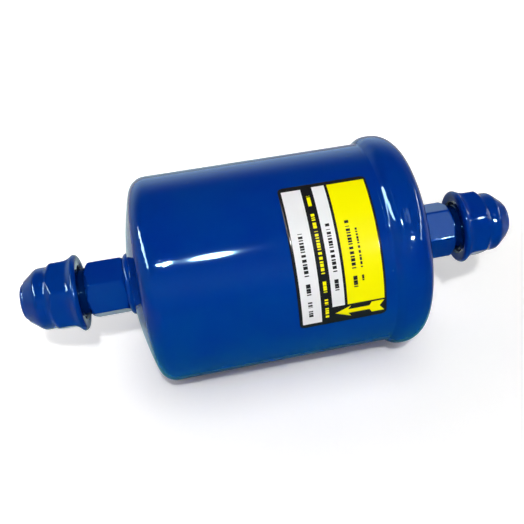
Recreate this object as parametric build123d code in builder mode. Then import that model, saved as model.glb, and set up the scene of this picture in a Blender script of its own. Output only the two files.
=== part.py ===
from build123d import *

import os
from math import cos, pi, sin, sqrt

# Filter drier with flare fittings and dust caps, in millimetres.
# X is the flow axis: the outlet is at -X, the inlet at +X, and Z is up.
# The origin is on the axis at mid-length, so both ends share one set of distances from it.

OUTLET, INLET = -1, 1

# Body: a drawn shell with one domed end, closed by a drawn cap that laps over it.
body_length = 108.0
shell_diameter = 76.0
shell_wall = 1.6
shell_dome_depth = 11.5
shell_knuckle = 6.5
cap_wall = 2.1
cap_dome_depth = 12.0
cap_knuckle = 9.0
cap_lap = 3.3
lap_clearance = 0.05
shell_end_gap = 0.8
girth_weld_leg = 2.6
girth_weld_toe = 2.3

# Flare fittings, alike at both ends: 3/4-16 flare thread for half-inch tube.
spigot_diameter = 16.0
spigot_reach = 1.5
spigot_clearance = 0.05
collar_diameter = 22.8
collar_height = 1.3
fitting_flats = 19.05
fitting_hex_length = 13.45
fitting_chamfer = 1.3
fitting_face_diameter = 19.2
neck_diameter = 17.0
neck_length = 2.85
thread_diameter = 19.05
thread_length = 13.6
thread_chamfer = 0.8
flare_root_diameter = 17.2
flare_tip_diameter = 12.0
bore_diameter = 10.3

# Dust caps, alike at both ends.
dust_cap_gap = 2.75
dust_cap_length = 21.0
dust_cap_clearance = 0.075
dust_cap_thread_spare = 0.9
flange_diameter = 28.2
flange_thickness = 2.8
flange_rounding = 1.3
dust_cap_flats = 23.7
dust_cap_hex_end = 8.9
crown_diameter = 22.8
crown_start = 11.0
crown_end = 14.95
crown_rounding = 3.0
nose_diameter = 13.0
nose_rounding = 1.4
mouth_chamfer = 0.7
seal_diameter = 13.9
seal_thickness = 1.0
seal_clearance = 0.05

# Turn of each hexagon: one corner's angle from +Y towards +Z.
outlet_fitting_turn = 16.0
inlet_fitting_turn = 47.5
outlet_dust_cap_turn = 21.0
inlet_dust_cap_turn = 17.5

# Label: a film on the shell, centred a little above -Y.
label_gap = 4.1
label_width = 30.6
label_arc = 78.0
label_elevation = 31.7
label_thickness = 0.1
label_corner = 1.8

# Inside, from the outlet to the inlet.
plate_rim_gap = 0.8
plate_wall = 1.2
plate_hole = 4.6
plate_hole_rings = 3
plate_ring_step = 8.0
screen_thickness = 0.4
pad_thickness = 4.0
pad_clearance = 0.1
gasket_inset = 2.0
gasket_bore_margin = 3.0
gasket_thickness = 2.0
core_channel = 3.4
core_length = 60.0
core_bore = 18.0
core_bore_depth = 44.0
core_chamfer = 1.5
spring_plate_inset = 5.0
spring_plate_wall = 1.2
spring_seat_height = 3.0
spring_seat_play = 0.4
spring_wire = 2.2
spring_small_diameter = 28.0
spring_large_diameter = 44.0
spring_turns = 5
spring_arcs_per_turn = 8
spring_closing = 0.8

# Radii and distances from mid-length that several pieces share.
shell_radius = shell_diameter / 2
apex = body_length / 2
cap_bore_radius = shell_radius + lap_clearance
cap_radius = cap_bore_radius + cap_wall
shell_rim = apex - shell_dome_depth
cap_rim = apex - cap_dome_depth
skirt_edge = cap_rim - cap_lap
weld_start = skirt_edge - girth_weld_leg
weld_end = skirt_edge + girth_weld_toe
hex_start = apex + collar_height
hex_end = hex_start + fitting_hex_length
thread_start = hex_end + neck_length
thread_end = thread_start + thread_length
flare_root_radius = flare_root_diameter / 2
flare_tip_radius = flare_tip_diameter / 2
flare_root = thread_end + thread_chamfer
flare_tip = flare_root + flare_root_radius - flare_tip_radius
mouth = hex_end + dust_cap_gap
nose = mouth + dust_cap_length


def crown_radius(radius, knuckle, depth):
    """Radius of the shallow sphere that meets a knuckle smoothly and rises by depth to its apex."""
    return ((radius - knuckle) ** 2 + depth**2 - knuckle**2) / (2 * (depth - knuckle))


def dome_outline(side, rim, radius, knuckle, depth):
    """Draw a domed end's half outline, from its rim over the knuckle to its apex on the axis."""
    crown = crown_radius(radius, knuckle, depth)
    crown_centre = rim + depth - crown
    tilt = (rim - crown_centre) / (crown - knuckle)
    meeting = Vector(side * (rim + knuckle * tilt), radius - knuckle + knuckle * sqrt(1 - tilt**2))
    knuckle_start = Vector(side * rim, radius)
    knuckle_arc = TangentArc(knuckle_start, meeting, tangent=(side, 0))
    return knuckle_arc, TangentArc(meeting, (side * (rim + depth), 0), tangent=knuckle_arc % 1)


def skirt_outline(x):
    """Height of the weld's rounded back at x: an arc that runs out level on the skirt."""
    rise = cap_radius - shell_radius
    arc_radius = ((weld_end - weld_start) ** 2 + rise**2) / (2 * rise)
    return Vector(x, cap_radius - arc_radius + sqrt(arc_radius**2 - (weld_end - x) ** 2))


# Shell: outer outline, then the same outline one wall inside, turned about the axis.
with BuildPart() as shell:
    with BuildSketch(Plane.XY):
        with BuildLine():
            rim_outside = Vector(cap_rim - shell_end_gap, shell_radius)
            rim_inside = rim_outside - Vector(0, shell_wall)
            outer, outer_crown = dome_outline(
                OUTLET, shell_rim, shell_radius, shell_knuckle, shell_dome_depth
            )
            inner, inner_crown = dome_outline(
                OUTLET,
                shell_rim,
                shell_radius - shell_wall,
                shell_knuckle - shell_wall,
                shell_dome_depth - shell_wall,
            )
            Polyline(outer @ 0, rim_outside, rim_inside, inner @ 0)
            Line(outer_crown @ 1, inner_crown @ 1)
        make_face()
    revolve(axis=Axis.X)
    with Locations(Plane.YZ.offset(OUTLET * apex)):
        Cylinder(
            spigot_diameter / 2 + spigot_clearance, shell_dome_depth * 2, mode=Mode.SUBTRACT
        )
shell.part.label = "shell"


# End cap: its skirt laps over the shell's rim, and the weld has taken the skirt's sharp edge.
with BuildPart() as end_cap:
    with BuildSketch(Plane.XY):
        with BuildLine():
            outer, outer_crown = dome_outline(
                INLET, cap_rim, cap_radius, cap_knuckle, cap_dome_depth
            )
            inner, inner_crown = dome_outline(
                INLET,
                cap_rim,
                cap_bore_radius,
                cap_knuckle - cap_wall,
                cap_dome_depth - cap_wall,
            )
            Line(outer @ 0, skirt_outline(weld_end))
            melted_edge = TangentArc(
                skirt_outline(weld_end), skirt_outline(skirt_edge), tangent=(-1, 0)
            )
            Polyline(melted_edge @ 1, (skirt_edge, cap_bore_radius), inner @ 0)
            Line(outer_crown @ 1, inner_crown @ 1)
        make_face()
    revolve(axis=Axis.X)
    with Locations(Plane.YZ.offset(INLET * apex)):
        Cylinder(
            spigot_diameter / 2 + spigot_clearance, cap_dome_depth * 2, mode=Mode.SUBTRACT
        )
end_cap.part.label = "end_cap"


# Girth weld: fills the corner between shell and skirt, with a rounded back.
with BuildPart() as girth_weld:
    with BuildSketch(Plane.XY):
        with BuildLine():
            ThreePointArc(
                skirt_outline(weld_start),
                skirt_outline((weld_start + skirt_edge) / 2),
                skirt_outline(skirt_edge),
            )
            Polyline(
                skirt_outline(skirt_edge), (skirt_edge, shell_radius), (weld_start, shell_radius)
            )
        make_face()
    revolve(axis=Axis.X)
girth_weld.part.label = "girth_weld"


def around_hexagon(side, start, flats, turn):
    """Sketch of all that lies round a hexagon, with one corner turned from +Y towards +Z."""
    with BuildSketch(Plane.YZ.offset(side * start)) as surround:
        Circle(flats)
        RegularPolygon(flats / 2, 6, major_radius=False, rotation=turn, mode=Mode.SUBTRACT)
    return surround.sketch


def make_fitting(side, dome_wall, turn):
    """Turned fitting: spigot, wrench hexagon, neck, flare thread, 45-degree flare and bore."""
    spigot_end = apex - dome_wall - spigot_reach
    corner_radius = fitting_flats / sqrt(3)
    outline = [
        (spigot_end, bore_diameter / 2),
        (spigot_end, spigot_diameter / 2),
        (hex_start, spigot_diameter / 2),
        (hex_start, fitting_face_diameter / 2),
        (hex_start + fitting_chamfer, corner_radius),
        (hex_end - fitting_chamfer, corner_radius),
        (hex_end, fitting_face_diameter / 2),
        (hex_end, neck_diameter / 2),
        (thread_start, neck_diameter / 2),
        (thread_start + thread_chamfer, thread_diameter / 2),
        (thread_end, thread_diameter / 2),
        (flare_root, flare_root_radius),
        (flare_tip, flare_tip_radius),
        (flare_tip, bore_diameter / 2),
    ]
    with BuildPart() as fitting:
        with BuildSketch(Plane.XY):
            with BuildLine():
                Polyline([(side * x, radius) for x, radius in outline], close=True)
            make_face()
        revolve(axis=Axis.X)
        extrude(
            around_hexagon(side, hex_start, fitting_flats, turn),
            amount=side * fitting_hex_length,
            mode=Mode.SUBTRACT,
        )
    return fitting.part


def make_fitting_weld(side, crown):
    """Rounded ring of weld between a dome and its fitting's hexagon."""
    with BuildPart() as weld:
        with BuildSketch(Plane.XY):
            with BuildLine():
                inner_radius = spigot_diameter / 2
                edge_radius = fitting_face_diameter / 2
                foot = apex - collar_height
                Polyline(
                    (side * hex_start, edge_radius),
                    (side * hex_start, inner_radius),
                    (side * foot, inner_radius),
                    (side * foot, edge_radius),
                )
                ThreePointArc(
                    (side * foot, edge_radius),
                    (side * (foot + hex_start) / 2, collar_diameter / 2),
                    (side * hex_start, edge_radius),
                )
            make_face()
        revolve(axis=Axis.X)
        with Locations((side * (apex - crown), 0, 0)):
            Sphere(crown, mode=Mode.SUBTRACT)
    return weld.part


def make_dust_cap(side, turn):
    """Cap nut: wrench hexagon, crown and cone-shaped nose, then the flange, then the inside."""
    bore_radius = thread_diameter / 2 + dust_cap_clearance
    bore_end = thread_end + dust_cap_thread_spare
    pocket_radius = seal_diameter / 2 + seal_clearance
    pocket_end = flare_tip + seal_thickness
    corner_radius = dust_cap_flats / sqrt(3)
    outside = [
        (mouth, 0),
        (mouth, corner_radius),
        (mouth + dust_cap_hex_end, corner_radius),
        (mouth + crown_start, crown_diameter / 2),
        (mouth + crown_end, crown_diameter / 2),
        (nose, nose_diameter / 2),
        (nose, 0),
    ]
    inside = [
        (mouth, 0),
        (mouth, bore_radius + mouth_chamfer),
        (mouth + mouth_chamfer, bore_radius),
        (bore_end, bore_radius),
        (bore_end + bore_radius - pocket_radius, pocket_radius),
        (pocket_end, pocket_radius),
        (pocket_end, 0),
    ]
    with BuildPart() as dust_cap:
        with BuildSketch(Plane.XY) as half_section:
            with BuildLine():
                Polyline([(side * x, radius) for x, radius in outside], close=True)
            make_face()
            crown_edge = Vertex(side * (mouth + crown_end), crown_diameter / 2, 0)
            fillet(half_section.vertices().sort_by_distance(crown_edge)[0], crown_rounding)
            nose_edge = Vertex(side * nose, nose_diameter / 2, 0)
            fillet(half_section.vertices().sort_by_distance(nose_edge)[0], nose_rounding)
        revolve(axis=Axis.X)
        extrude(
            around_hexagon(side, mouth, dust_cap_flats, turn),
            amount=side * crown_start,
            mode=Mode.SUBTRACT,
        )
        with BuildSketch(Plane.XY) as flange_section:
            with Locations((side * (mouth + flange_thickness / 2), flange_diameter / 4)):
                Rectangle(flange_thickness, flange_diameter / 2)
            fillet(flange_section.vertices().group_by(Axis.Y)[-1], flange_rounding)
        revolve(axis=Axis.X)
        with BuildSketch(Plane.XY):
            with BuildLine():
                Polyline([(side * x, radius) for x, radius in inside], close=True)
            make_face()
        revolve(axis=Axis.X, mode=Mode.SUBTRACT)
    return dust_cap.part


def make_disc(start, thickness, diameter, bore=0):
    """Flat disc or ring on the axis, from start towards the inlet."""
    with BuildPart() as disc:
        with BuildSketch(Plane.YZ.offset(start)):
            Circle(diameter / 2)
            if bore:
                Circle(bore / 2, mode=Mode.SUBTRACT)
        extrude(amount=thickness)
    return disc.part


shell_crown = crown_radius(shell_radius, shell_knuckle, shell_dome_depth)
cap_crown = crown_radius(cap_radius, cap_knuckle, cap_dome_depth)

outlet_fitting = make_fitting(OUTLET, shell_wall, outlet_fitting_turn)
outlet_fitting.label = "outlet_fitting"

inlet_fitting = make_fitting(INLET, cap_wall, inlet_fitting_turn)
inlet_fitting.label = "inlet_fitting"

outlet_weld = make_fitting_weld(OUTLET, shell_crown)
outlet_weld.label = "outlet_weld"

inlet_weld = make_fitting_weld(INLET, cap_crown)
inlet_weld.label = "inlet_weld"

outlet_dust_cap = make_dust_cap(OUTLET, outlet_dust_cap_turn)
outlet_dust_cap.label = "outlet_dust_cap"

inlet_dust_cap = make_dust_cap(INLET, inlet_dust_cap_turn)
inlet_dust_cap.label = "inlet_dust_cap"

outlet_cap_seal = make_disc(-flare_tip - seal_thickness, seal_thickness, seal_diameter)
outlet_cap_seal.label = "outlet_cap_seal"

inlet_cap_seal = make_disc(flare_tip, seal_thickness, seal_diameter)
inlet_cap_seal.label = "inlet_cap_seal"


# Label: a strip of the shell's surface with rounded corners.
first_edge = 180 - label_elevation - label_arc / 2
with BuildPart() as label:
    with BuildSketch(Plane.XY.rotated((first_edge, 0, 0))):
        label_centre = weld_start - label_gap - label_width / 2
        with Locations((label_centre, shell_radius + label_thickness / 2)):
            Rectangle(label_width, label_thickness)
    revolve(axis=Axis.X, revolution_arc=label_arc)
    short_edges = label.edges().filter_by(lambda edge: edge.length < 2 * label_thickness)
    fillet(short_edges, label_corner)
label.part.label = "label"


# Perforated plate: a flanged cup whose rim rests on the inside of the shell's knuckle.
inner_knuckle = shell_knuckle - shell_wall
plate_radius = shell_radius - shell_wall - plate_rim_gap
plate_start = -shell_rim - sqrt(inner_knuckle**2 - (inner_knuckle - plate_rim_gap) ** 2)
screen_start = plate_start + plate_wall
pad_start = screen_start + screen_thickness
outlet_gasket_start = pad_start + pad_thickness
with BuildPart() as perforated_plate:
    with BuildSketch(Plane.YZ.offset(plate_start)):
        Circle(plate_radius)
    extrude(amount=outlet_gasket_start - plate_start)
    with BuildSketch(Plane.YZ.offset(screen_start)):
        Circle(plate_radius - plate_wall)
    extrude(amount=outlet_gasket_start - screen_start, mode=Mode.SUBTRACT)
    with BuildSketch(Plane.YZ.offset(plate_start)):
        Circle(plate_hole / 2)
        for ring in range(1, plate_hole_rings + 1):
            with PolarLocations(ring * plate_ring_step, 6 * ring):
                Circle(plate_hole / 2)
    extrude(amount=plate_wall, mode=Mode.SUBTRACT)
perforated_plate.part.label = "perforated_plate"

pad_diameter = 2 * (plate_radius - plate_wall - pad_clearance)
wire_screen = make_disc(screen_start, screen_thickness, pad_diameter)
wire_screen.label = "wire_screen"

filter_pad = make_disc(pad_start, pad_thickness, pad_diameter)
filter_pad.label = "filter_pad"

core_radius = shell_radius - shell_wall - core_channel
gasket_diameter = 2 * (core_radius - gasket_inset)
gasket_bore = core_bore + 2 * gasket_bore_margin
outlet_core_gasket = make_disc(
    outlet_gasket_start, gasket_thickness, gasket_diameter, gasket_bore
)
outlet_core_gasket.label = "outlet_core_gasket"


# Core: a moulded block with a round-bottomed blind bore that opens to the outlet.
core_start = outlet_gasket_start + gasket_thickness
core_end = core_start + core_length
with BuildPart() as core:
    with BuildSketch(Plane.YZ.offset(core_start)):
        Circle(core_radius)
    extrude(amount=core_length)
    chamfer(core.edges().filter_by(GeomType.CIRCLE), core_chamfer)
    with BuildSketch(Plane.XY):
        with BuildLine():
            bore_radius = core_bore / 2
            bore_bottom = core_start + core_bore_depth
            Polyline(
                (bore_bottom, 0),
                (core_start, 0),
                (core_start, bore_radius),
                (bore_bottom - bore_radius, bore_radius),
            )
            TangentArc(
                (bore_bottom - bore_radius, bore_radius), (bore_bottom, 0), tangent=(1, 0)
            )
        make_face()
    revolve(axis=Axis.X, mode=Mode.SUBTRACT)
core.part.label = "core"

inlet_core_gasket = make_disc(core_end, gasket_thickness, gasket_diameter)
inlet_core_gasket.label = "inlet_core_gasket"


# Spring plate: pressed, with a raised centre that the small end of the spring sits round.
spring_plate_start = core_end + gasket_thickness
spring_start = spring_plate_start + spring_plate_wall
centre_radius = (spring_small_diameter - spring_wire) / 2 - spring_seat_play
with BuildPart() as spring_plate:
    with BuildSketch(Plane.YZ.offset(spring_plate_start)):
        Circle(core_radius - spring_plate_inset)
    extrude(amount=spring_plate_wall)
    with BuildSketch(Plane.YZ.offset(spring_start)):
        Circle(centre_radius)
    extrude(amount=spring_seat_height, taper=15)
    with BuildSketch(Plane.YZ.offset(spring_plate_start)):
        Circle(centre_radius - spring_plate_wall)
    extrude(amount=spring_seat_height, taper=15, mode=Mode.SUBTRACT)
spring_plate.part.label = "spring_plate"


# Core spring: a conical coil from the spring plate to the inside of the end cap.
# Its pitch falls away towards both ends, so that it closes there. The wire's centre line is
# a chain of short arcs, each tangent to the one before.
small_radius = spring_small_diameter / 2
large_radius = spring_large_diameter / 2
first_coil = spring_start + spring_wire / 2
seat_crown = cap_crown - cap_wall - spring_wire / 2
last_coil = apex - cap_crown + sqrt(seat_crown**2 - large_radius**2)


def spring_point(share):
    """Point on the coil's centre line, for a share of its length from 0 to 1."""
    turn = 2 * pi * spring_turns * share
    rise = share - spring_closing * sin(2 * pi * share) / (2 * pi)
    radius = small_radius + (large_radius - small_radius) * share
    x = first_coil + (last_coil - first_coil) * rise
    return Vector(x, radius * cos(turn), radius * sin(turn))


with BuildPart() as core_spring:
    with BuildLine() as coil:
        steps = spring_arcs_per_turn * spring_turns
        heading = spring_point(1 / steps**2) - spring_point(0)
        for step in range(steps):
            arc_ends = spring_point(step / steps), spring_point((step + 1) / steps)
            heading = TangentArc(*arc_ends, tangent=heading) % 1
    with BuildSketch(Plane(coil.line @ 0, z_dir=coil.line % 0)):
        Circle(spring_wire / 2)
    sweep(path=coil.line)
core_spring.part.label = "core_spring"


os.makedirs("parts", exist_ok=True)
pieces = [
    shell.part,
    end_cap.part,
    girth_weld.part,
    outlet_fitting,
    inlet_fitting,
    outlet_weld,
    inlet_weld,
    outlet_dust_cap,
    inlet_dust_cap,
    outlet_cap_seal,
    inlet_cap_seal,
    label.part,
    perforated_plate.part,
    wire_screen,
    filter_pad,
    outlet_core_gasket,
    core.part,
    inlet_core_gasket,
    spring_plate.part,
    core_spring.part,
]
for piece in pieces:
    export_step(piece, f"parts/{piece.label}.step")
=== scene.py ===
import math

import bmesh
import bpy
import numpy as np
from mathutils import Matrix, Vector


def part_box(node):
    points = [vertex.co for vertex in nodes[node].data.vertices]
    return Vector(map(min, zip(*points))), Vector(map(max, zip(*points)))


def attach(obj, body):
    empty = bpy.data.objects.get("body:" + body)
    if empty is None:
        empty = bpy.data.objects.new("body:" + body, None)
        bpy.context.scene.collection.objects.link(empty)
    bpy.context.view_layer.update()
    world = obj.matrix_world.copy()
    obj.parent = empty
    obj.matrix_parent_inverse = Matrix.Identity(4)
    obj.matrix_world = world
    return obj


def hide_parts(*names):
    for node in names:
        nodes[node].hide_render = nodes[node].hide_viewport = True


# A blue-painted refrigerant filter drier. Its flow axis is X, the outlet lies at -X and the inlet
# at +X. Sizes are in millimetres, and MM turns them into Blender's metres.
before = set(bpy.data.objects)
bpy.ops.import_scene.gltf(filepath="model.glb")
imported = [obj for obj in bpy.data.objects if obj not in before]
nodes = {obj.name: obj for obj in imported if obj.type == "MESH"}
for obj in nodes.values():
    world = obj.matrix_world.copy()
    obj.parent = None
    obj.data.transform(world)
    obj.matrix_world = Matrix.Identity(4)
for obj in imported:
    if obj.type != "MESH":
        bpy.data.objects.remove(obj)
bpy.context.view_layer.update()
MM = 0.001


# Desiccant core: a block of beads bound and fired in a mould, pale buff, with a sandy surface.
# The felt rings on its two end faces are pressed wool, and the pad below it is matted fibre.
def new_material(name):
    """A material with its node tree and its shader."""
    material = bpy.data.materials.new(name)
    material.use_nodes = True
    return material, material.node_tree, material.node_tree.nodes["Principled BSDF"]


def feed(tree, socket, value):
    """Links a socket to an output socket, or sets it to a number or a colour."""
    if isinstance(value, bpy.types.NodeSocket):
        tree.links.new(value, socket)
    else:
        socket.default_value = value


def calculate(tree, operation, *values):
    """Math node over output sockets or numbers."""
    node = tree.nodes.new("ShaderNodeMath")
    node.operation = operation
    for socket, value in zip(node.inputs, values):
        feed(tree, socket, value)
    return node.outputs[0]


def blend(tree, factor, first, second):
    """The first colour where the factor is 0, the second where it is 1."""
    node = tree.nodes.new("ShaderNodeMix")
    node.data_type = "RGBA"
    for title, value in (("Factor", factor), ("A", first), ("B", second)):
        feed(tree, node.inputs[title], value)
    return node.outputs["Result"]


def noise(tree, place, size, detail):
    """Noise of a size in millimetres over a place in metres."""
    node = tree.nodes.new("ShaderNodeTexNoise")
    node.inputs["Scale"].default_value = 1 / (size * MM)
    node.inputs["Detail"].default_value = detail
    tree.links.new(place, node.inputs["Vector"])
    return node.outputs["Fac"]


def bump(tree, height, metres, normal=None):
    """Normal of a surface raised by the height times some metres, over another normal if any."""
    node = tree.nodes.new("ShaderNodeBump")
    feed(tree, node.inputs["Height"], height)
    feed(tree, node.inputs["Distance"], metres)
    if normal:
        tree.links.new(normal, node.inputs["Normal"])
    return node.outputs["Normal"]


def grainy(name, colour, shade, grain, depth, roughness, metallic=0.0):
    """Material whose colour runs between two tones with a noise of grain millimetres, and whose
    bump follows the same noise by depth millimetres."""
    material, tree, shader = new_material(name)
    place = tree.nodes.new("ShaderNodeTexCoord").outputs["Object"]
    grains = noise(tree, place, grain, 4)
    feed(tree, shader.inputs["Base Color"], blend(tree, grains, (*colour, 1), (*shade, 1)))
    feed(tree, shader.inputs["Normal"], bump(tree, grains, depth * MM))
    shader.inputs["Roughness"].default_value = roughness
    shader.inputs["Metallic"].default_value = metallic
    return material


def dress(node, material):
    """Give a CAD node one material over its whole surface."""
    nodes[node].data.materials.clear()
    nodes[node].data.materials.append(material)


dress("core", grainy("fired_desiccant", (0.62, 0.53, 0.38), (0.45, 0.37, 0.25), 1.2, 0.3, 0.9))
felt = grainy("pressed_felt", (0.42, 0.39, 0.33), (0.30, 0.27, 0.23), 0.5, 0.15, 0.95)
dress("outlet_core_gasket", felt)
dress("inlet_core_gasket", felt)
dress("filter_pad", grainy("white_fibre", (0.80, 0.79, 0.74), (0.66, 0.65, 0.60), 0.4, 0.2, 0.95))


# Perforated plate, wire screen, spring plate and spring: bare steel, pressed or drawn, with a
# faint rolling grain.
bare_steel = grainy("bare_steel", (0.56, 0.56, 0.57), (0.44, 0.44, 0.46), 0.3, 0.01, 0.35, 1.0)
for steel_node in ("perforated_plate", "wire_screen", "spring_plate", "core_spring"):
    dress(steel_node, bare_steel)


# Sealing discs: black rubber, pressed between each flare and its dust cap.
rubber = grainy("seal_rubber", (0.022, 0.022, 0.023), (0.035, 0.034, 0.033), 0.8, 0.02, 0.6)
dress("outlet_cap_seal", rubber)
dress("inlet_cap_seal", rubber)


# Shell and end cap: drawn steel under thick blue stoving paint. The paint is glossy, with long
# waves from the drawn steel and the fine orange peel of the spray. The CAD solids stay.
DEEP_BLUE, THIN_BLUE = (0.0, 0.021, 0.265, 1), (0.0, 0.046, 0.275, 1)


def vary(tree, value, start, end, low=0.0, high=1.0, smooth=True):
    """Map Range node: low where the value is at the start, high where it is at the end, with a
    smooth or a straight run between them."""
    node = tree.nodes.new("ShaderNodeMapRange")
    if smooth:
        node.interpolation_type = "SMOOTHSTEP"
    titles = ("Value", "From Min", "From Max", "To Min", "To Max")
    for title, limit in zip(titles, (value, start, end, low, high)):
        feed(tree, node.inputs[title], limit)
    return node.outputs["Result"]


def enamel_group():
    """Node group: a slow noise mixes the two blues and varies the gloss. Long waves, fine peel
    and a few raised nibs are three bumps, one on the other. The first two take their depths in
    millimetres."""
    wave_size, peel_size, cloud_size, nib_spacing, nib_height = 22, 1.4, 14, 7, 0.06
    group = bpy.data.node_groups.new("sprayed_enamel", "ShaderNodeTree")
    sockets = (
        ("Deep Blue", "INPUT", "NodeSocketColor"),
        ("Thin Blue", "INPUT", "NodeSocketColor"),
        ("Wave Depth", "INPUT", "NodeSocketFloat"),
        ("Peel Depth", "INPUT", "NodeSocketFloat"),
        ("Colour", "OUTPUT", "NodeSocketColor"),
        ("Roughness", "OUTPUT", "NodeSocketFloat"),
        ("Normal", "OUTPUT", "NodeSocketVector"),
    )
    for title, direction, kind in sockets:
        group.interface.new_socket(title, in_out=direction, socket_type=kind)
    taken = group.nodes.new("NodeGroupInput").outputs
    given = group.nodes.new("NodeGroupOutput").inputs
    place = group.nodes.new("ShaderNodeTexCoord").outputs["Object"]
    normal = None
    for size, depth in ((wave_size, "Wave Depth"), (peel_size, "Peel Depth")):
        metres = calculate(group, "MULTIPLY", taken[depth], MM)
        normal = bump(group, noise(group, place, size, 0), metres, normal)
    nibs = group.nodes.new("ShaderNodeTexVoronoi")
    nibs.inputs["Scale"].default_value = 1 / (nib_spacing * MM)
    group.links.new(place, nibs.inputs["Vector"])
    speck = vary(group, nibs.outputs["Distance"], 0.03, 0.07, 1, 0)
    feed(group, given["Normal"], bump(group, speck, nib_height * MM, normal))
    cloud = noise(group, place, cloud_size, 3)
    feed(group, given["Colour"], blend(group, cloud, taken["Deep Blue"], taken["Thin Blue"]))
    feed(group, given["Roughness"], vary(group, cloud, 0, 1, 0.03, 0.05, smooth=False))
    return group


ENAMEL = enamel_group()


def sprayed(tree, shader, wave_depth, peel_depth):
    """Places the enamel group in a material, with its two blues and its depths in millimetres.
    The shader takes its normal, and the blue cast of its reflections."""
    skin = tree.nodes.new("ShaderNodeGroup")
    skin.node_tree = ENAMEL
    skin.inputs["Deep Blue"].default_value = DEEP_BLUE
    skin.inputs["Thin Blue"].default_value = THIN_BLUE
    skin.inputs["Wave Depth"].default_value = wave_depth
    feed(tree, skin.inputs["Peel Depth"], peel_depth)
    tree.links.new(skin.outputs["Normal"], shader.inputs["Normal"])
    shader.inputs["Specular IOR Level"].default_value = 0.2
    shader.inputs["Specular Tint"].default_value = (0.42, 0.78, 1.0, 1)
    return skin


def body_paint():
    """Enamel that is smooth along the body. Towards both ends, from 36 to 41 mm of mid-length, it
    turns rougher, as paint that pooled on the corners."""
    material, tree, shader = new_material("body_enamel")
    split = tree.nodes.new("ShaderNodeSeparateXYZ")
    tree.links.new(tree.nodes.new("ShaderNodeTexCoord").outputs["Object"], split.inputs["Vector"])
    outward = calculate(tree, "ABSOLUTE", split.outputs["X"])
    pooled = vary(tree, outward, 36 * MM, 41 * MM, 0.002, 0.045)
    skin = sprayed(tree, shader, wave_depth=0.03, peel_depth=pooled)
    tree.links.new(skin.outputs["Colour"], shader.inputs["Base Color"])
    tree.links.new(skin.outputs["Roughness"], shader.inputs["Roughness"])
    return material


body_enamel = body_paint()
for painted_node in ("shell", "end_cap", "outlet_weld", "inlet_weld"):
    dress(painted_node, body_enamel)


# Girth weld: the bead between shell and skirt. Paint has run into its foot, so it leaves the
# shell in a soft hollow, and its back is a little uneven round the drier.
def rounds(name, x, radius, material):
    """Closed skin of rings about the axis. Point (i, j) lies at x[i, j] along the axis and
    radius[i, j] from it, at the angle 2 pi j / columns from +Y towards +Z. The last ring joins
    the first, and a ring of no radius shrinks to one point."""
    rows, columns = radius.shape
    angle = np.linspace(0, 2 * np.pi, columns, endpoint=False)
    points = np.stack([x, radius * np.cos(angle), radius * np.sin(angle)], axis=-1) * MM
    row, column = np.meshgrid(np.arange(rows), np.arange(columns), indexing="ij")
    next_row, next_column = (row + 1) % rows, (column + 1) % columns
    corners = ((row, column), (row, next_column), (next_row, next_column), (next_row, column))
    quads = np.stack([i * columns + j for i, j in corners], axis=-1).reshape(-1, 4)
    mesh = bpy.data.meshes.new(name)
    mesh.from_pydata(points.reshape(-1, 3).tolist(), [], quads.tolist())
    work = bmesh.new()
    work.from_mesh(mesh)
    bmesh.ops.remove_doubles(work, verts=work.verts, dist=1e-7)
    bmesh.ops.recalc_face_normals(work, faces=work.faces)
    work.to_mesh(mesh)
    work.free()
    mesh.shade_smooth()
    mesh.materials.append(material)
    piece = bpy.data.objects.new(name, mesh)
    bpy.context.scene.collection.objects.link(piece)
    return piece


COLUMNS = 360
TURN = np.linspace(0, 2 * np.pi, COLUMNS, endpoint=False)
shell_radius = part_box("shell")[1].z / MM
skirt_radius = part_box("end_cap")[1].z / MM
bead_start, skirt_edge = (corner.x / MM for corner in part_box("girth_weld"))
bead_toe, foot_reach, softness = 2.3, 1.4, 0.16
buried_depth, kept_below, edge_drop = 0.3, 0.02, 0.06
bead_end = skirt_edge + bead_toe
foot_start = bead_start - foot_reach
rise = skirt_radius - shell_radius
back_radius = ((bead_end - bead_start) ** 2 + rise**2) / (2 * rise)
station = np.linspace(foot_start, bead_end, 60)[:, None]
back = skirt_radius - back_radius + np.sqrt(back_radius**2 - (bead_end - station) ** 2)
blended = softness * np.logaddexp(back / softness, shell_radius / softness)
# Three waves of 7, 19 and 43 turns, with heights in millimetres.
unevenness = 0.05 * np.sin(7 * TURN + 1.0) + 0.04 * np.sin(19 * TURN) + 0.03 * np.sin(43 * TURN)
middle = np.sin(np.pi * (station - foot_start) / (bead_end - foot_start)) ** 2
sinking = edge_drop * np.clip((station - skirt_edge + 0.6) / 2.0, 0, 1)
outside = blended + (unevenness - kept_below) * middle - sinking
buried = np.full((1, COLUMNS), shell_radius - buried_depth)
bead_x = np.vstack([station, [[bead_end]], [[foot_start]]]) * np.ones((1, COLUMNS))
girth_bead = rounds("girth_bead", bead_x, np.vstack([outside, buried, buried]), body_enamel)
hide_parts("girth_weld")
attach(girth_bead, "drier")


# Flare fittings: turned from hexagon bar, welded to the domes and painted with the drier. What
# the dust cap covers, the thread and the 45-degree flare, stayed free of paint and shows zinc.
PITCH = 1.5875
ZINC = (0.33, 0.34, 0.35, 1)
# Near-black blue, painted as shade into the narrow gap behind each dust cap.
GAP_SHADE_PAINT = (0.0, 0.005, 0.03, 1)


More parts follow.
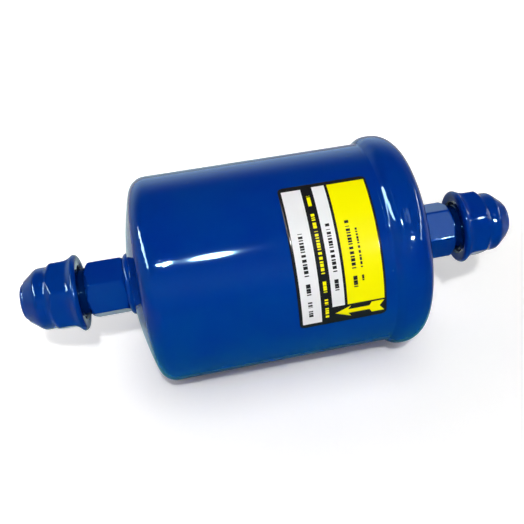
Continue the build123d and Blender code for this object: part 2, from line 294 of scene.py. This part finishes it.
def partly_sprayed(name, bare_from, bare_to, bare_radius, taper_from):
    """Enamel that stops in a ragged edge on zinc plate. The plate shows where the distance along
    the axis lies between bare_from and bare_to and the distance from it is below bare_radius,
    which shrinks by as much as the distance along the axis passes taper_from. Deep in the gap
    behind the dust cap the colour is darkened most of the way to near-black, as painted shade."""
    gap_start, gap_radius, raggedness, mist_size = 69.2, 10.4, 1.6, 0.6
    material, tree, shader = new_material(name)
    skin = sprayed(tree, shader, wave_depth=0.04, peel_depth=0.035)
    place = tree.nodes.new("ShaderNodeTexCoord").outputs["Object"]
    split = tree.nodes.new("ShaderNodeSeparateXYZ")
    tree.links.new(place, split.inputs["Vector"])

    def work_out(operation, *values):
        return calculate(tree, operation, *values)

    mist = work_out("SUBTRACT", noise(tree, place, mist_size, 2), 0.5)
    ragged = work_out("MULTIPLY", mist, raggedness * MM)
    along = work_out("ADD", work_out("ABSOLUTE", split.outputs["X"]), ragged)
    across = work_out("MULTIPLY", split.outputs["Y"], split.outputs["Y"])
    square = work_out("MULTIPLY_ADD", split.outputs["Z"], split.outputs["Z"], across)
    after = work_out("GREATER_THAN", along, bare_from * MM)
    before = work_out("LESS_THAN", along, bare_to * MM)
    past = work_out("MAXIMUM", work_out("SUBTRACT", along, taper_from * MM), 0.0)
    reach = work_out("ADD", work_out("SQRT", square), past)
    inside = work_out("LESS_THAN", reach, bare_radius * MM)
    bare = work_out("MULTIPLY", work_out("MULTIPLY", after, before), inside)
    # Painted shade: in the narrow gap behind the dust cap the colour is darkened towards near-black
    # blue.
    narrow = work_out("LESS_THAN", reach, gap_radius * MM)
    gap = work_out("GREATER_THAN", along, gap_start * MM)
    painted_gap_shade = work_out("MULTIPLY", work_out("MULTIPLY", gap, narrow), before)
    gap_shade_share = work_out("MULTIPLY", painted_gap_shade, 0.8)
    gap_shaded_colour = blend(tree, gap_shade_share, skin.outputs["Colour"], GAP_SHADE_PAINT)
    feed(tree, shader.inputs["Base Color"], blend(tree, bare, gap_shaded_colour, ZINC))
    roughness = work_out("MULTIPLY_ADD", bare, 0.22, skin.outputs["Roughness"])
    tree.links.new(roughness, shader.inputs["Roughness"])
    tree.links.new(bare, shader.inputs["Metallic"])
    return material


def hexagon(flats, corner, sharpness):
    """Distance from the axis to a wrench hexagon whose corners are worn round: the half distance
    over flats, divided by the p-norm of the cosines to its six faces, with p the sharpness."""
    faces = np.radians(corner + 30 + 60 * np.arange(6))[:, None]
    cosines = np.maximum(np.cos(TURN[None, :] - faces), 0)
    return flats / 2 / (cosines**sharpness).sum(axis=0) ** (1 / sharpness)


def softer(first, second, softness):
    """The smaller of two radii, with the edge between them rounded over about the softness."""
    return -softness * np.logaddexp(-first / softness, -second / softness)


def threads(side, x):
    """Depth of a thread from 0 at its crests to 1 at its roots, over the distance x along the
    axis and the turn. The wave is flattened by a tanh, so crests and roots are broad."""
    breadth = 1.6
    phase = 2 * np.pi * side * x / PITCH - TURN
    return 0.5 - 0.5 * np.tanh(breadth * np.cos(phase)) / np.tanh(breadth)


fitting_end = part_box("inlet_fitting")[1].x / MM
hex_start, hex_end = 55.3, 68.75
thread_start, thread_end, flare_root = 71.6, 85.2, 86.0


def flare_fitting(side, node, spigot_end, corner):
    """Rings along the outside, from the spigot in the dome to the tip of the flare, and back
    through the bore. The thread's radius falls below its crests by a rounded wave of the turn."""
    flats, chamfer_radius, chamfer_slope, edge = 19.05, 9.7, 1.12, 0.1
    neck_radius, fillet, fillet_reach = 8.5, 1.1, 0.35
    crest, least_root, groove_depth, lead_length, runout_length = 9.5, 8.45, 0.9, 0.8, 1.6
    cone_root, tip, tip_mouth, bore, spigot = 8.6, 6.0, 5.35, 5.15, 8.0
    hex_x = np.linspace(hex_start, hex_end, 40)[:, None]
    chamfer = chamfer_radius + np.minimum(hex_x - hex_start, hex_end - hex_x) * chamfer_slope
    flank = softer(hexagon(flats, corner, sharpness=44), chamfer, edge)
    neck_x = np.linspace(hex_end + 0.02, thread_start, 8)[:, None]
    neck = neck_radius + fillet * np.exp(-(neck_x - hex_end) / fillet_reach)
    thread_x = np.linspace(thread_start, thread_end, 110)[:, None]
    lead = np.clip((thread_x - thread_start) / lead_length, 0, 1)
    runout = np.clip((flare_root - thread_x) / runout_length, 0, 1)
    thread = neck_radius + (crest - neck_radius) * lead * np.sqrt(runout)
    thread = thread - groove_depth * threads(side, thread_x) * lead * runout
    # The flare's cone with its rounded tip, the bore and the spigot: place along and radius.
    plain = np.array(
        [
            (flare_root, cone_root),
            (fitting_end - 0.25, tip + 0.2),
            (fitting_end - 0.05, tip),
            (fitting_end, tip - 0.2),
            (fitting_end, tip_mouth),
            (fitting_end - 0.2, bore),
            (spigot_end, bore),
            (spigot_end, spigot),
            (hex_start, spigot),
        ]
    )
    ones = np.ones((1, COLUMNS))
    outline = np.maximum(thread, least_root)
    x = np.vstack([hex_x * ones, neck_x * ones, thread_x * ones, plain[:, :1] * ones])
    radius = np.vstack([flank, neck * ones, outline, plain[:, 1:] * ones])
    piece = rounds(node + "_turned", side * x, radius, fitting_enamel)
    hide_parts(node)
    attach(piece, "drier")


fitting_enamel = partly_sprayed(
    "fitting_enamel", bare_from=74.6, bare_to=90, bare_radius=9.9, taper_from=90
)
outlet_spigot, inlet_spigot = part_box("outlet_fitting")[1].x / -MM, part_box("inlet_fitting")[0].x / MM
flare_fitting(-1, "outlet_fitting", outlet_spigot, 16)
flare_fitting(1, "inlet_fitting", inlet_spigot, 47.5)


# Dust caps: cap nuts with a flange, a wrench hexagon, a crown and a cone-shaped nose, screwed on
# before painting. Paint has filled the corners between them and rounded every edge.
def dust_cap(side, node, body, corner):
    """Rings from the middle of the nose over nose, crown, hexagon and flange, round the mouth and
    back along the threaded bore. Each outer radius is the softened smaller one of the turned
    outline and the hexagon. From the flange's rim it falls to the hexagon by exp(-d ** 1.6),
    where d is the distance from the rim over the fall."""
    mouth, length, flats = 71.5, 21.0, 23.7
    rim, fall, flange_radius, rounding = 1.3, 1.7, 14.1, 1.3
    crown_radius, crown_foot, nose_radius, nose_rounding = 11.4, 12.5, 6.5, 1.6
    nose_slope, nose_inset, crown_edge, hexagon_edge = 0.81, 1.2, 0.35, 0.3
    shoulder_foot, shoulder_slope, shoulder_blend, shoulder_limit = 10.9, 1.09, 0.4, 13.7
    bore_start, bore_end, bore_lead, bore_radius, groove_depth = 0.7, 15.0, 1.2, 9.6, 0.75
    mouth_radius, relief, floor, relief_radius = 10.3, 17.6, 18.1, 7.0
    nose_x = length - nose_rounding * (1 - np.cos(np.linspace(0, np.pi / 2, 16)))
    rest_x = np.linspace(length - nose_rounding - 0.1, rim, 110)
    far = np.concatenate([nose_x, rest_x])[:, None]
    cone = nose_radius + (length - far) * nose_slope
    turned_crown = softer(cone, np.full_like(far, crown_radius), crown_edge)
    into_nose = np.clip(far - length + nose_rounding, 0, nose_rounding)
    nose_edge = nose_radius - nose_inset + np.sqrt(nose_rounding**2 - into_nose**2)
    turned_crown = np.where(far > length - nose_rounding, nose_edge, turned_crown)
    widening = (shoulder_foot - far) * shoulder_slope / shoulder_blend
    shoulder = crown_radius + shoulder_blend * np.logaddexp(0, widening)
    turned = np.where(far > crown_foot, turned_crown, np.minimum(shoulder, shoulder_limit))
    all_round, all_along = np.zeros_like(TURN), np.zeros_like(far)
    worn_hexagon = hexagon(flats, corner, sharpness=24)
    wrench = softer(turned + all_round, worn_hexagon + all_along, hexagon_edge)
    outer = np.where(far > crown_foot, turned, wrench)
    rise_to_rim = np.exp(-(((far - rim) / fall) ** 1.6))
    outer = outer + (flange_radius - outer) * rise_to_rim
    bend = np.linspace(0, np.pi / 2, 12)[1:, None]
    lip_x = rim * (1 - np.sin(bend))
    lip = flange_radius - rounding * (1 - np.cos(bend))
    bore_x = np.linspace(bore_start, bore_end, 100)[:, None]
    lead = np.clip((bore_x - bore_start) / bore_lead, 0, 1)
    runout = np.clip((bore_end - bore_x) / bore_lead, 0, 1)
    bore = bore_radius + groove_depth * lead * runout * threads(side, mouth + bore_x)
    closed_end = np.array([(relief, relief_radius), (floor, relief_radius), (floor, 0.0)])
    rings = (
        (length, 0.0),
        (far, outer),
        (lip_x, lip),
        (0.0, mouth_radius),
        (bore_x, bore),
        (closed_end[:, :1], closed_end[:, 1:]),
    )
    x = np.vstack([np.atleast_2d(along) * np.ones(COLUMNS) for along, out in rings])
    radius = np.vstack([np.atleast_2d(out) * np.ones(COLUMNS) for along, out in rings])
    piece = rounds(node + "_nut", side * (mouth + x), radius, cap_enamel)
    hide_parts(node)
    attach(piece, body)


cap_enamel = partly_sprayed(
    "cap_enamel", bare_from=74.0, bare_to=91, bare_radius=10.6, taper_from=86.3
)
dust_cap(-1, "outlet_dust_cap", "outlet_cap", 21)
dust_cap(1, "inlet_dust_cap", "inlet_cap", 17.5)


# Label: printed plastic film glued to the shell. It is black with two white fields, a yellow one
# and the flow arrow. Rows of plain strokes stand for lines of print: it carries no lettering.
LABEL_WIDTH, LABEL_HEIGHT = 30.6, 51.87
label_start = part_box("label")[0].x / MM
label_low, label_high = np.radians(-7.3), np.radians(70.7)
BLACK, INK = (0.012, 0.012, 0.014, 1), (0.02, 0.02, 0.022, 1)
WHITE, YELLOW = (0.92, 0.92, 0.94, 1), (1.0, 0.93, 0.0, 1)

# Each row: colour, start, start slant, end, end slant, middle and half height, as the printed
# shape takes them.
FIELDS = (
    (WHITE, 1.1, 0, 7.75, 0, 25.8, 24.3),
    (WHITE, 11.6, 0, 15.95, 0, 28.7, 21.7),
    (YELLOW, 16.9, 0, 29.85, 0, 28.7, 21.7),
    (YELLOW, 12.5, 2.5, 16.3, 0.8, 4.1, 2.2),
    (YELLOW, 15.5, 0, 28.1, 0.75, 4.1, 0.8),
    (YELLOW, 24.0, 0.6, 28.1, 0.75, 4.1, 2.2),
)
STROKE_ROWS = (
    (INK, 3.4, 0, 4.9, 0, 19.0, 15.0),
    (YELLOW, 9.1, 0, 10.3, 0, 25.0, 22.0),
    (INK, 13.1, 0, 14.5, 0, 24.0, 12.0),
    (INK, 19.6, 0, 21.0, 0, 24.0, 12.0),
    (INK, 22.6, 0, 23.3, 0, 24.0, 9.0),
)


def printed_group():
    """Node group: 1 inside a printed shape, 0 outside. A point's distance from the middle line
    must be below the half height, and its place along lies between a start and an end line, each
    of which slants away by its slant times that distance. All sizes are in millimetres."""
    group = bpy.data.node_groups.new("printed_shape", "ShaderNodeTree")
    titles = ("Start", "Start Slant", "End", "End Slant", "Middle", "Half Height")
    group.interface.new_socket("Place", in_out="INPUT", socket_type="NodeSocketVector")
    for title in titles:
        group.interface.new_socket(title, in_out="INPUT", socket_type="NodeSocketFloat")
    group.interface.new_socket("Mask", in_out="OUTPUT", socket_type="NodeSocketFloat")
    taken = group.nodes.new("NodeGroupInput").outputs
    given = group.nodes.new("NodeGroupOutput").inputs
    split = group.nodes.new("ShaderNodeSeparateXYZ")
    group.links.new(taken["Place"], split.inputs["Vector"])
    off = calculate(group, "SUBTRACT", split.outputs["Y"], taken["Middle"])
    off = calculate(group, "ABSOLUTE", off)
    start = calculate(group, "MULTIPLY_ADD", off, taken["Start Slant"], taken["Start"])
    end = calculate(group, "MULTIPLY_ADD", off, taken["End Slant"], taken["End"])
    past_start = calculate(group, "GREATER_THAN", split.outputs["X"], start)
    before_end = calculate(group, "LESS_THAN", split.outputs["X"], end)
    level = calculate(group, "LESS_THAN", off, taken["Half Height"])
    both = calculate(group, "MULTIPLY", past_start, before_end)
    feed(group, given["Mask"], calculate(group, "MULTIPLY", both, level))
    return group


def printed_film():
    """Material: printed shapes laid one over the other on black, in millimetres of the unrolled
    label. The stroke rows are broken up by two noises along the label's height: a fine one cuts
    strokes of uneven width, and a coarse one sets them in groups."""
    material, tree, shader = new_material("print_film")
    to_size = tree.nodes.new("ShaderNodeVectorMath")
    to_size.operation = "MULTIPLY"
    to_size.inputs[1].default_value = (LABEL_WIDTH, LABEL_HEIGHT, 0)
    tree.links.new(tree.nodes.new("ShaderNodeUVMap").outputs["UV"], to_size.inputs[0])
    unrolled = tree.nodes.new("ShaderNodeSeparateXYZ")
    tree.links.new(to_size.outputs["Vector"], unrolled.inputs["Vector"])

    def cuts(scale, detail, threshold):
        """1 where a noise along the label's height lies above a threshold."""
        ribbon = tree.nodes.new("ShaderNodeTexNoise")
        ribbon.noise_dimensions = "1D"
        ribbon.inputs["Scale"].default_value = scale
        ribbon.inputs["Detail"].default_value = detail
        tree.links.new(unrolled.outputs["Y"], ribbon.inputs["W"])
        return calculate(tree, "GREATER_THAN", ribbon.outputs["Fac"], threshold)

    strokes = cuts(scale=1.3, detail=1, threshold=0.46)
    words = cuts(scale=0.3, detail=0, threshold=0.4)
    strokes = calculate(tree, "MULTIPLY", strokes, words)
    printed = printed_group()
    colour = BLACK
    for tone, *sizes in FIELDS + STROKE_ROWS:
        shape = tree.nodes.new("ShaderNodeGroup")
        shape.node_tree = printed
        tree.links.new(to_size.outputs["Vector"], shape.inputs["Place"])
        for socket, size in zip(list(shape.inputs)[1:], sizes):
            socket.default_value = size
        mask = shape.outputs["Mask"]
        if (tone, *sizes) in STROKE_ROWS:
            mask = calculate(tree, "MULTIPLY", mask, strokes)
        colour = blend(tree, mask, colour, tone)
    tree.links.new(colour, shader.inputs["Base Color"])
    shader.inputs["Roughness"].default_value = 0.15
    shader.inputs["Specular IOR Level"].default_value = 0.06
    return material


def film(name, material):
    """Skin over the label's arc: column i along the axis, row j round it. Near the two ends the
    rows draw in by a quarter circle, which rounds the corners. The same grid lies below it at the
    shell, and strips along the border join the two. Its UV map runs from 0 to 1 over the size."""
    corner, columns, rows = 1.8, 40, 160
    thickness, sunk = 0.1, 0.05
    height = np.linspace(0, LABEL_HEIGHT, rows)
    near = np.minimum(height, LABEL_HEIGHT - height)
    inset = corner - np.sqrt(corner**2 - np.maximum(corner - near, 0) ** 2)
    share = np.linspace(0, 1, columns)[:, None]
    along = inset + share * (LABEL_WIDTH - 2 * inset)
    around = np.ones((columns, 1)) * height
    angle = label_low + around / LABEL_HEIGHT * (label_high - label_low)
    count = columns * rows
    grids = []
    for radius in (shell_radius + thickness, shell_radius - sunk):
        place = [label_start + along, -radius * np.cos(angle), radius * np.sin(angle)]
        grids.append(np.stack(place, axis=-1).reshape(-1, 3) * MM)
    index = np.arange(count).reshape(columns, rows)
    quads = [index[:-1, :-1], index[1:, :-1], index[1:, 1:], index[:-1, 1:]]
    top = np.stack(quads, axis=-1).reshape(-1, 4)
    border = np.concatenate([index[:, 0], index[-1, 1:], index[-2::-1, -1], index[0, -2:0:-1]])
    after = np.roll(border, -1)
    walls = np.stack([border, border + count, after + count, after], axis=-1)
    faces = np.concatenate([top, top[:, ::-1] + count, walls])
    mesh = bpy.data.meshes.new(name)
    mesh.from_pydata(np.concatenate(grids).tolist(), [], faces.tolist())
    flat = np.stack([along / LABEL_WIDTH, around / LABEL_HEIGHT], axis=-1).reshape(-1, 2)
    flat = np.concatenate([flat, flat])
    corners = np.empty(len(mesh.loops), dtype=np.int32)
    mesh.loops.foreach_get("vertex_index", corners)
    mesh.uv_layers.new(name="unrolled").data.foreach_set("uv", flat[corners].ravel())
    mesh.shade_smooth()
    mesh.materials.append(material)
    piece = bpy.data.objects.new(name, mesh)
    bpy.context.scene.collection.objects.link(piece)
    return piece


label_film = film("label_film", printed_film())
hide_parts("label")
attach(label_film, "drier")


# Floor: a white sheet that the drier lies on. The drier rests on the skirt of its end cap and on
# the far corner of the shell, so the sheet leans by that difference.
def white_sheet():
    """Material: a diffuse white that takes the shadow. Part of its white is plain emission for
    the camera and, weaker, for mirror rays. It grows with the distance from a point under the
    inlet half, so that the sheet runs into the background; near the drier it stays low, so that
    the shadows there stay dark, as painted shade. Ambient occlusion fades it where the drier
    stands close above, which paints the contact shadow. In front of the axis, mirror rays see the
    sheet in cooler colours, which change from the outlet to the inlet: a painted reflection on
    the shell, darkened by the same occlusion."""
    glow_centre, contact_shade_reach, mirrored_share = (40 * MM, 0, 0), 20 * MM, 0.4
    pale, teal, dusk = (0.70, 0.75, 1.0, 1), (0.08, 0.70, 0.72, 1), (0.05, 0.18, 0.30, 1)
    material, tree, shader = new_material("white_sheet")
    shader.inputs["Roughness"].default_value = 1.0
    shader.inputs["Specular IOR Level"].default_value = 0.0
    place = tree.nodes.new("ShaderNodeTexCoord").outputs["Object"]
    path = tree.nodes.new("ShaderNodeLightPath").outputs
    aside = tree.nodes.new("ShaderNodeVectorMath")
    aside.operation = "SUBTRACT"
    aside.inputs[1].default_value = glow_centre
    tree.links.new(place, aside.inputs[0])
    away = tree.nodes.new("ShaderNodeVectorMath")
    away.operation = "LENGTH"
    tree.links.new(aside.outputs["Vector"], away.inputs[0])
    # Painted shade: the emission stays low near the drier, which keeps its shadows there darker.
    glow = vary(tree, away.outputs["Value"], 70 * MM, 240 * MM, 0.37, 1)
    mirrored = calculate(tree, "MULTIPLY", path["Is Glossy Ray"], mirrored_share)
    seen = calculate(tree, "MAXIMUM", path["Is Camera Ray"], mirrored)
    # Painted contact shadow: ambient occlusion fades the emission where the drier stands close above.
    contact_shade_ao = tree.nodes.new("ShaderNodeAmbientOcclusion")
    contact_shade_ao.inputs["Distance"].default_value = contact_shade_reach
    given_off = calculate(tree, "MULTIPLY", glow, seen)
    given_off = calculate(tree, "MULTIPLY", given_off, contact_shade_ao.outputs["AO"])
    tree.links.new(given_off, shader.inputs["Emission Strength"])
    split = tree.nodes.new("ShaderNodeSeparateXYZ")
    tree.links.new(place, split.inputs["Vector"])
    # Painted reflection: mirror rays in front of the axis see the sheet tinted pale, teal and dusk blue
    # along the axis, darkened by the occlusion.
    tones = tree.nodes.new("ShaderNodeValToRGB")
    stops = tones.color_ramp.elements
    stops[0].position, stops[0].color = 0.1, pale
    stops[1].position, stops[1].color = 0.75, dusk
    for position in (0.3, 0.6):
        stops.new(position).color = teal
    side = vary(tree, split.outputs["X"], -200 * MM, 200 * MM, smooth=False)
    tree.links.new(side, tones.inputs["Fac"])
    tone = tree.nodes.new("ShaderNodeVectorMath")
    tone.operation = "SCALE"
    tree.links.new(tones.outputs["Color"], tone.inputs["Vector"])
    tree.links.new(contact_shade_ao.outputs["AO"], tone.inputs["Scale"])
    front = vary(tree, split.outputs["Y"], 20 * MM, -30 * MM, 0.3, 1)
    reflection_tint_share = calculate(tree, "MULTIPLY", front, path["Is Glossy Ray"])
    for socket, white in (("Base Color", (0.90, 0.885, 0.865, 1)), ("Emission Color", (1, 1, 1, 1))):
        tint = blend(tree, reflection_tint_share, white, tone.outputs["Vector"])
        tree.links.new(tint, shader.inputs[socket])
    return material


SKIRT_X, CORNER_X = 42.0, -42.5
FLOOR_GAP, FLOOR_REACH = 0.04, 3000
lean = (skirt_radius - shell_radius) / (SKIRT_X - CORNER_X)
edges = [-FLOOR_REACH, FLOOR_REACH]
floor_x, floor_y = np.meshgrid(edges, edges, indexing="ij")
floor_z = -skirt_radius - FLOOR_GAP - (floor_x - SKIRT_X) * lean
floor_points = np.stack([floor_x, floor_y, floor_z], axis=-1).reshape(-1, 3) * MM
floor_mesh = bpy.data.meshes.new("floor")
floor_mesh.from_pydata(floor_points.tolist(), [], [(0, 2, 3, 1)])
floor_mesh.materials.append(white_sheet())
floor = bpy.data.objects.new("floor", floor_mesh)
bpy.context.scene.collection.objects.link(floor)


# Light: a small lamp above the front draws the shadows, and a twin of it, seen only in the gloss,
# draws the bright line along the shell. A wide lamp fills from behind. The others show only in
# the gloss too: strips on both sides, and small ones for the lights on the inlet end.
def lamp(name, azimuth, elevation, distance, width, height, power, lights, mirrored):
    """Area lamp that looks at the origin from a compass direction, in degrees: azimuth 0 lies at
    -Y and 90 at +X. Lengths are in metres and the power is in watts. It falls on matt surfaces
    if it lights, and shows in gloss if it is mirrored."""
    light = bpy.data.lights.new(name, "AREA")
    light.shape = "ELLIPSE"
    light.size, light.size_y, light.energy = width, height, power
    source = bpy.data.objects.new(name, light)
    turn, tilt = math.radians(azimuth), math.radians(elevation)
    flat_way = Vector((math.sin(turn), -math.cos(turn), 0)) * math.cos(tilt)
    way = flat_way + Vector((0, 0, math.sin(tilt)))
    source.location = way * distance
    source.rotation_euler = (-way).to_track_quat("-Z", "Y").to_euler()
    source.visible_diffuse = lights
    source.visible_glossy = mirrored
    bpy.context.scene.collection.objects.link(source)


lamp("flash", -1.4, 47.6, 0.8, 0.055, 0.06, 3.6, True, False)
lamp("glint", -1.4, 47.6, 0.8, 0.050, 0.06, 33.0, False, True)
lamp("spot", -8.5, 47.4, 0.8, 0.003, 0.05, 2.2, False, True)
lamp("back_fill", 180, 50, 0.9, 0.8, 0.8, 1.0, True, False)
lamp("left_strip", -78, 42, 0.8, 0.7, 0.14, 18.0, False, True)
lamp("right_strip", 85, 14, 0.8, 0.7, 0.04, 2.5, False, True)
lamp("right_box", 38, 48, 0.8, 0.2, 0.2, 0.5, True, True)
lamp("right_spot", 29.5, 27, 0.8, 0.13, 0.05, 28.0, False, True)


# Surroundings: plain white for the camera, and a dim white room for the light, darker overhead.
def studio():
    """World whose light falls off with height. Mirror rays see it three times as bright, darker
    on the inlet side, and in a pale blue that turns to teal near the horizon in front."""
    pale_blue, teal = (0.55, 0.80, 1.0, 1), (0.05, 0.50, 0.70, 1)
    world = bpy.data.worlds.new("studio")
    world.use_nodes = True
    tree = world.node_tree
    surround = tree.nodes["Background"]
    path = tree.nodes.new("ShaderNodeLightPath").outputs
    glossy = path["Is Glossy Ray"]
    split = tree.nodes.new("ShaderNodeSeparateXYZ")
    direction = tree.nodes.new("ShaderNodeTexCoord").outputs["Generated"]
    tree.links.new(direction, split.inputs["Vector"])
    fall = vary(tree, split.outputs["Z"], 0.25, 0.75, 1.0, 0.08)
    power = vary(tree, glossy, 0, 1, 0.5, 1.5, smooth=False)
    inlet_side = vary(tree, glossy, 0, 1, 1.0, 0.2, smooth=False)
    shade = vary(tree, split.outputs["X"], 0.2, 0.8, 1.0, inlet_side)
    light = calculate(tree, "MULTIPLY", calculate(tree, "MULTIPLY", power, fall), shade)
    strength = calculate(tree, "MAXIMUM", path["Is Camera Ray"], light)
    tree.links.new(strength, surround.inputs["Strength"])
    low = vary(tree, split.outputs["Z"], 0.5, 0.0)
    ahead = vary(tree, split.outputs["Y"], 0.1, -0.4, smooth=False)
    horizon = blend(tree, calculate(tree, "MULTIPLY", low, ahead), pale_blue, teal)
    tree.links.new(blend(tree, glossy, (1, 1, 1, 1), horizon), surround.inputs["Color"])
    return world


bpy.context.scene.world = studio()
bpy.context.scene.view_settings.view_transform = "Standard"


# Camera: a normal lens 26 cm from the drier, in front of its outlet half, looking down at 34
# degrees.
camera_data = bpy.data.cameras.new("camera")
camera_data.lens = 48.06
camera_data.shift_x = -0.0802
camera = bpy.data.objects.new("camera", camera_data)
camera_place = Vector((-0.02655, -0.2192, 0.14843))
sideways, upwards = Vector((0.9750, -0.2124, -0.0650)), Vector((0.1729, 0.5422, 0.8222))
backwards = sideways.cross(upwards).normalized()
upwards = backwards.cross(sideways).normalized()
facing = Matrix((sideways, upwards, backwards)).transposed().to_4x4()
camera.matrix_world = Matrix.Translation(camera_place) @ facing
camera_data.clip_start = 0.01
camera_data.clip_end = 20
bpy.context.scene.collection.objects.link(camera)
bpy.context.scene.camera = camera
